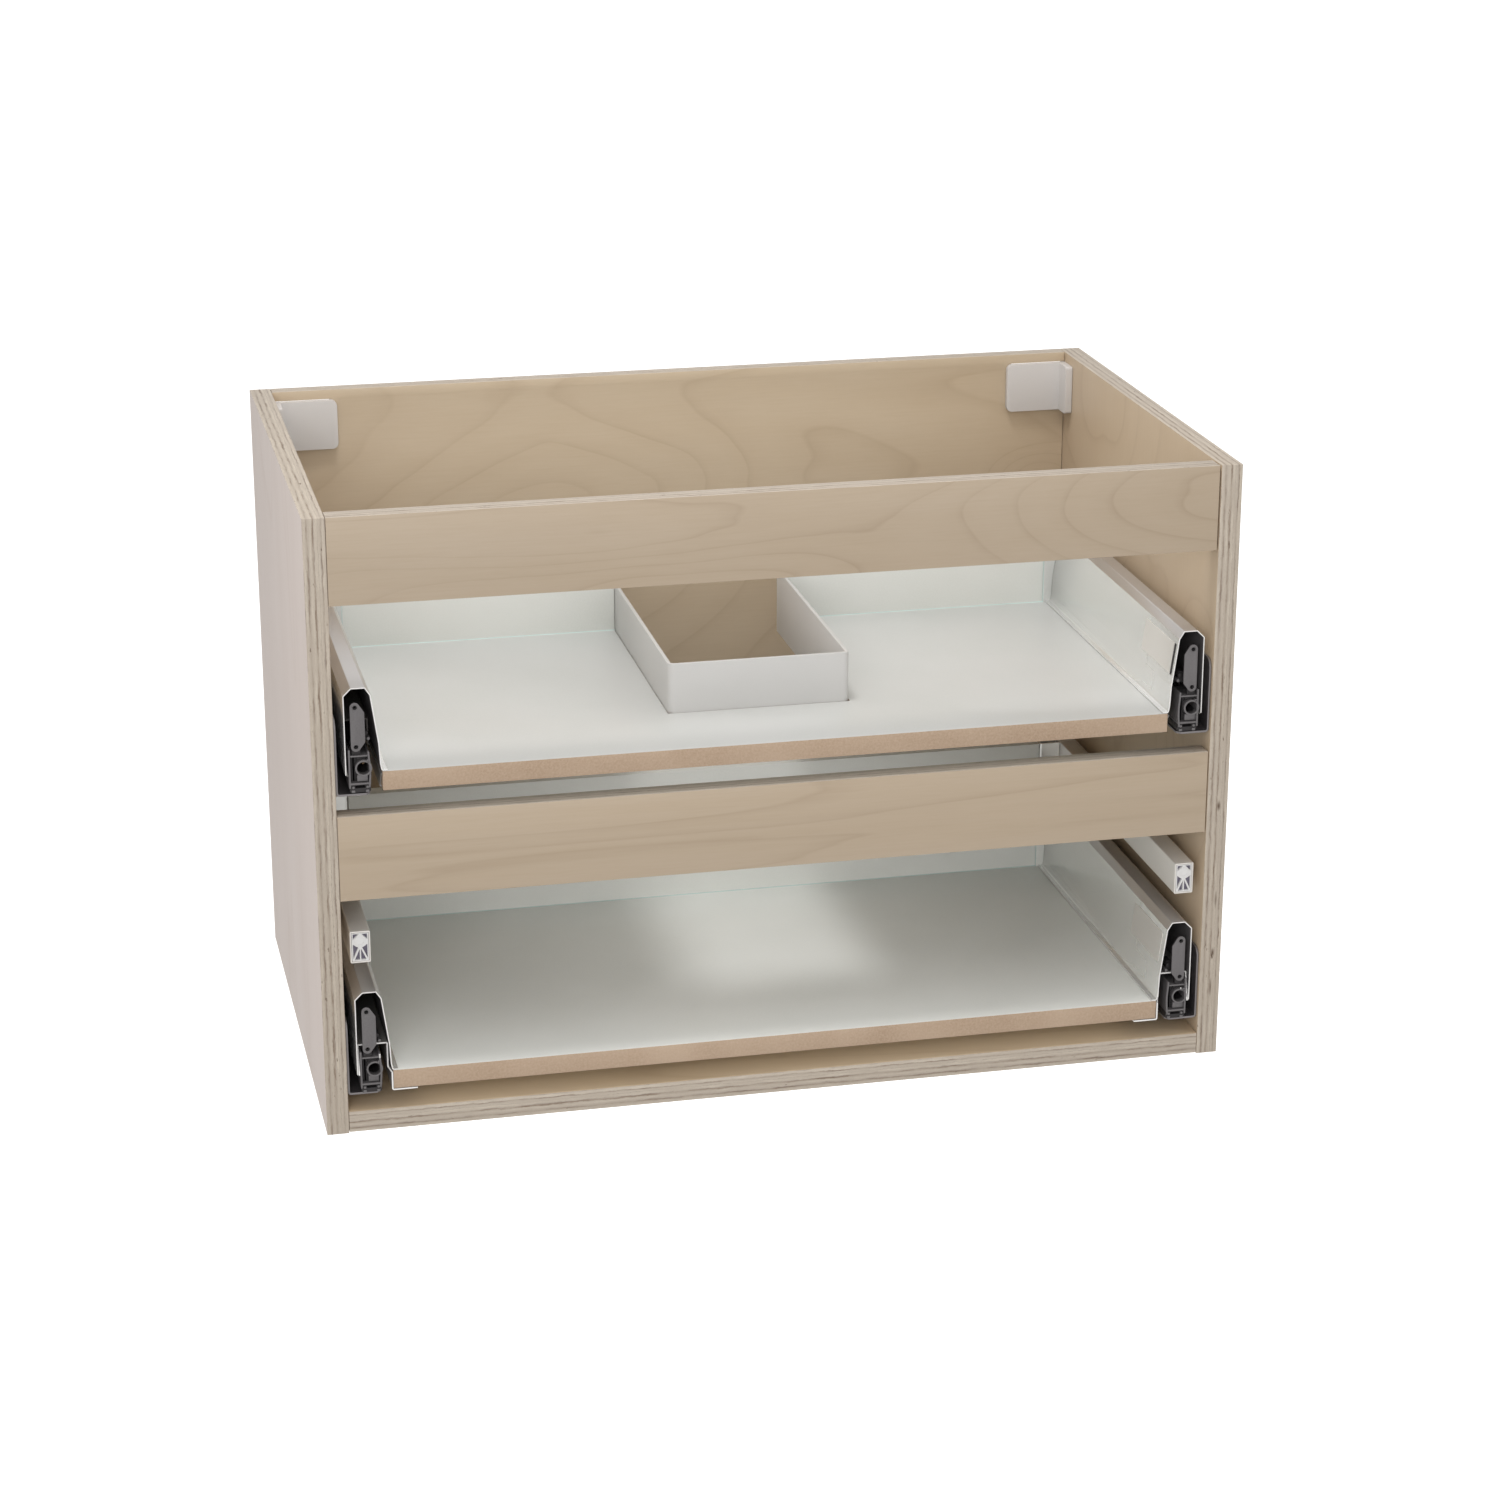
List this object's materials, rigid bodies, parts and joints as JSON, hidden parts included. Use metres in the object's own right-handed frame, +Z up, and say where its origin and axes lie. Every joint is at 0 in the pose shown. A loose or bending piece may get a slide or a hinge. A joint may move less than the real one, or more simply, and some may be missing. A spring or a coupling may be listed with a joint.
{
  "type": "wall-hung drawer cabinet",
  "caption": "Wall-hung plywood vanity carcass without fronts: an upper drawer with a siphon cut-out and a deeper lower drawer on full-extension runners, open at the top for a basin.",
  "frame": {"origin": "centre of the back panel's wall face, half way up the carcass", "axes": "+X to the cabinet's right seen from the front, +Y into the wall, +Z up; the drawers open along -Y"},
  "size_m": [0.76, 0.4366, 0.5174],
  "materials": {
    "birch_plywood": "clear-lacquered birch plywood, satin",
    "white_melamine_board": "white melamine-faced chipboard, raw front edge",
    "white_coated_steel": "white powder-coated sheet steel, satin",
    "grey_galvanised_steel": "dark grey rolled steel",
    "grey_die_cast_zinc": "dark grey die-cast metal, matt",
    "pale_hanger_plastic": "pale grey moulded plastic",
    "white_surround_plastic": "white moulded plastic",
    "pale_insert_plastic": "pale moulded plastic",
    "natural_cage_plastic": "natural moulded plastic"
  },
  "bodies": {
    "carcass": {"left_side_panel": "birch_plywood", "right_side_panel": "birch_plywood", "bottom_panel": "birch_plywood", "back_panel": "birch_plywood", "top_front_rail": "birch_plywood", "middle_front_rail": "birch_plywood", "left_hanger_body": "grey_galvanised_steel", "right_hanger_body": "grey_galvanised_steel", "left_hanger_cover": "pale_hanger_plastic", "right_hanger_cover": "pale_hanger_plastic", "upper_left_cabinet_runner": "grey_galvanised_steel", "upper_right_cabinet_runner": "grey_galvanised_steel", "lower_left_cabinet_runner": "grey_galvanised_steel", "lower_right_cabinet_runner": "grey_galvanised_steel"},
    "upper_drawer": {"upper_drawer_floor": "white_melamine_board", "upper_left_back_wall": "white_melamine_board", "upper_right_back_wall": "white_melamine_board", "siphon_cutout_surround": "white_surround_plastic", "upper_left_drawer_side": "white_coated_steel", "upper_right_drawer_side": "white_coated_steel", "upper_left_drawer_runner": "white_coated_steel", "upper_right_drawer_runner": "white_coated_steel", "upper_left_front_connector": "grey_die_cast_zinc", "upper_right_front_connector": "grey_die_cast_zinc", "upper_left_front_lever": "grey_die_cast_zinc", "upper_right_front_lever": "grey_die_cast_zinc", "upper_left_back_bracket": "white_coated_steel", "upper_right_back_bracket": "white_coated_steel"},
    "lower_drawer": {"lower_drawer_floor": "white_melamine_board", "lower_back_wall": "white_melamine_board", "lower_left_drawer_side": "white_coated_steel", "lower_right_drawer_side": "white_coated_steel", "lower_left_drawer_runner": "white_coated_steel", "lower_right_drawer_runner": "white_coated_steel", "lower_left_front_connector": "grey_die_cast_zinc", "lower_right_front_connector": "grey_die_cast_zinc", "lower_left_front_lever": "grey_die_cast_zinc", "lower_right_front_lever": "grey_die_cast_zinc", "lower_left_back_bracket": "white_coated_steel", "lower_right_back_bracket": "white_coated_steel", "left_gallery_rail": "white_coated_steel", "right_gallery_rail": "white_coated_steel", "left_gallery_end_insert": "pale_insert_plastic", "right_gallery_end_insert": "pale_insert_plastic", "left_gallery_support": "white_coated_steel", "right_gallery_support": "white_coated_steel"},
    "upper_middle_runners": {"upper_left_middle_runner": "grey_galvanised_steel", "upper_right_middle_runner": "grey_galvanised_steel"},
    "upper_outer_roller_cages": {"upper_left_outer_roller_cage": "natural_cage_plastic", "upper_right_outer_roller_cage": "natural_cage_plastic"},
    "upper_inner_roller_cages": {"upper_left_inner_roller_cage": "natural_cage_plastic", "upper_right_inner_roller_cage": "natural_cage_plastic"},
    "lower_middle_runners": {"lower_left_middle_runner": "grey_galvanised_steel", "lower_right_middle_runner": "grey_galvanised_steel"},
    "lower_outer_roller_cages": {"lower_left_outer_roller_cage": "natural_cage_plastic", "lower_right_outer_roller_cage": "natural_cage_plastic"},
    "lower_inner_roller_cages": {"lower_left_inner_roller_cage": "natural_cage_plastic", "lower_right_inner_roller_cage": "natural_cage_plastic"}
  },
  "joints": [
    {"name": "upper_drawer_slide", "type": "slide", "parent": "carcass", "child": "upper_drawer", "axis": [0, -1, 0], "range_m": [0, 0.34]},
    {"name": "upper_middle_runners_slide", "type": "slide", "parent": "carcass", "child": "upper_middle_runners", "axis": [0, -1, 0], "range_m": [0, 0.171]},
    {"name": "upper_outer_roller_cages_slide", "type": "slide", "parent": "carcass", "child": "upper_outer_roller_cages", "axis": [0, -1, 0], "range_m": [0, 0.0855]},
    {"name": "upper_inner_roller_cages_slide", "type": "slide", "parent": "carcass", "child": "upper_inner_roller_cages", "axis": [0, -1, 0], "range_m": [0, 0.2565]},
    {"name": "lower_drawer_slide", "type": "slide", "parent": "carcass", "child": "lower_drawer", "axis": [0, -1, 0], "range_m": [0, 0.34]},
    {"name": "lower_middle_runners_slide", "type": "slide", "parent": "carcass", "child": "lower_middle_runners", "axis": [0, -1, 0], "range_m": [0, 0.171]},
    {"name": "lower_outer_roller_cages_slide", "type": "slide", "parent": "carcass", "child": "lower_outer_roller_cages", "axis": [0, -1, 0], "range_m": [0, 0.0855]},
    {"name": "lower_inner_roller_cages_slide", "type": "slide", "parent": "carcass", "child": "lower_inner_roller_cages", "axis": [0, -1, 0], "range_m": [0, 0.2565]}
  ],
  "couplings": [
    {"joint": "upper_middle_runners_slide", "follows": "upper_drawer_slide", "ratio": 0.5},
    {"joint": "upper_outer_roller_cages_slide", "follows": "upper_drawer_slide", "ratio": 0.25},
    {"joint": "upper_inner_roller_cages_slide", "follows": "upper_drawer_slide", "ratio": 0.75},
    {"joint": "lower_middle_runners_slide", "follows": "lower_drawer_slide", "ratio": 0.5},
    {"joint": "lower_outer_roller_cages_slide", "follows": "lower_drawer_slide", "ratio": 0.25},
    {"joint": "lower_inner_roller_cages_slide", "follows": "lower_drawer_slide", "ratio": 0.75}
  ]
}
